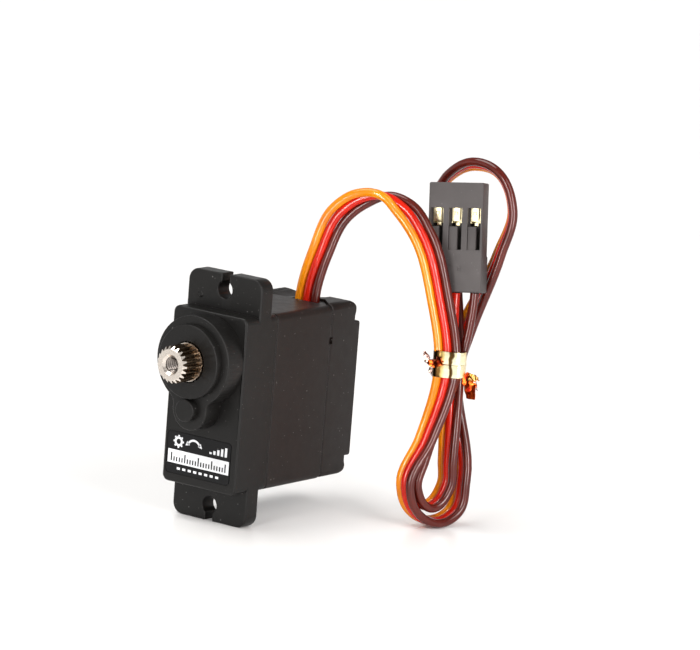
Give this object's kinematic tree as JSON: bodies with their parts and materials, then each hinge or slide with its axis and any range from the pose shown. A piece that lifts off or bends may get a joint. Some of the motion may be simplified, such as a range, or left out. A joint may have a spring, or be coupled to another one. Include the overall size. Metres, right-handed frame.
{
  "type": "servo motor",
  "caption": "Micro servo motor with a splined metal output shaft on ball bearings, slotted mounting flanges and a bundled three-wire lead with a plug.",
  "frame": {"origin": "midway between the two flange holes, on the flange's rear face", "axes": "-Y along the output shaft towards its splined end, +Z along the length of the case towards the output shaft's end, +X across the case"},
  "size_m": [0.0307, 0.041, 0.0479],
  "materials": {
    "black_nylon": "matt black glass-filled nylon",
    "label_foil": "printed label film, semi-gloss black with a white band",
    "steel": "hardened steel, bright",
    "brass": "machined brass",
    "zinc_screw": "dark zinc plate",
    "motor_steel": "nickel plated drawn can",
    "magnet": "sintered magnet",
    "lamination": "stacked laminations",
    "copper": "enamelled copper",
    "dark_plastic": "moulded black plastic",
    "pot_plastic": "moulded green plastic",
    "white_plastic": "natural acetal",
    "board": "green solder mask",
    "component": "epoxy package",
    "ceramic": "ceramic",
    "wire_orange": "soft glossy insulation",
    "wire_red": "soft glossy insulation",
    "wire_brown": "soft glossy insulation",
    "gold_foil": "crumpled metallised film over a thin wire",
    "plug_plastic": "dark grey moulded plastic",
    "gold_contact": "gold plated spring bronze"
  },
  "bodies": {
    "case": {"upper_case": "black_nylon", "middle_case": "black_nylon", "bottom_cover": "black_nylon", "case_screws": "zinc_screw", "label": "label_foil", "front_bearing_outer": "steel", "rear_bearing_outer": "steel", "idler_axle": "steel", "motor_can": "motor_steel", "motor_magnets": "magnet", "motor_front_bush": "brass", "motor_end_bell": "dark_plastic", "motor_brushes": "copper", "motor_terminals": "brass", "pot_housing": "pot_plastic", "pot_track": "component", "pot_leads": "brass", "circuit_board": "board", "controller_chip": "component", "driver_chips": "component", "board_capacitors": "ceramic", "board_resistors": "component", "lead_clamp": "dark_plastic", "lead_tails": "wire_orange", "lead_orange": "wire_orange", "lead_red": "wire_red", "lead_brown": "wire_brown", "twist_tie": "gold_foil", "plug_housing": "plug_plastic", "plug_contacts": "gold_contact"},
    "output_shaft": {"output_gear": "steel", "front_bearing_inner": "steel", "rear_bearing_inner": "steel", "pot_rotor": "white_plastic", "pot_wiper": "brass"},
    "first_stage": {"first_gear": "brass"},
    "second_stage": {"second_gear": "brass"},
    "third_stage": {"third_gear": "steel"},
    "motor_rotor": {"motor_shaft": "steel", "motor_pinion": "brass", "motor_armature": "lamination", "motor_windings": "copper", "motor_commutator": "copper"},
    "front_ball_set": {"front_bearing_balls": "steel", "front_bearing_cage": "brass"},
    "rear_ball_set": {"rear_bearing_balls": "steel", "rear_bearing_cage": "brass"}
  },
  "joints": [
    {"name": "output_spin", "type": "hinge", "parent": "case", "child": "output_shaft", "pos_m": [0, 0, 0.0054], "axis": [0, -1, 0], "range_deg": [-90, 90]},
    {"name": "third_gear_spin", "type": "hinge", "parent": "case", "child": "third_stage", "pos_m": [0, 0, -0.0009], "axis": [0, -1, 0], "range_deg": [-205, 205]},
    {"name": "second_gear_spin", "type": "hinge", "parent": "case", "child": "second_stage", "pos_m": [0, 0, 0.0054], "axis": [0, -1, 0], "range_deg": [-577, 577]},
    {"name": "first_gear_spin", "type": "hinge", "parent": "case", "child": "first_stage", "pos_m": [0, 0, -0.0009], "axis": [0, -1, 0], "range_deg": [-1625, 1625]},
    {"name": "motor_spin", "type": "hinge", "parent": "case", "child": "motor_rotor", "pos_m": [0, 0, -0.0064], "axis": [0, -1, 0], "range_deg": [-8304, 8304]},
    {"name": "front_balls_roll", "type": "hinge", "parent": "case", "child": "front_ball_set", "pos_m": [0, 0, 0.0054], "axis": [0, -1, 0], "range_deg": [-39, 39]},
    {"name": "rear_balls_roll", "type": "hinge", "parent": "case", "child": "rear_ball_set", "pos_m": [0, 0, 0.0054], "axis": [0, -1, 0], "range_deg": [-36, 36]}
  ],
  "couplings": [
    {"joint": "third_gear_spin", "follows": "output_spin", "ratio": -2.2727},
    {"joint": "second_gear_spin", "follows": "output_spin", "ratio": 6.405},
    {"joint": "first_gear_spin", "follows": "output_spin", "ratio": -18.05},
    {"joint": "motor_spin", "follows": "output_spin", "ratio": 92.257},
    {"joint": "front_balls_roll", "follows": "output_spin", "ratio": 0.42308},
    {"joint": "rear_balls_roll", "follows": "output_spin", "ratio": 0.39091}
  ]
}
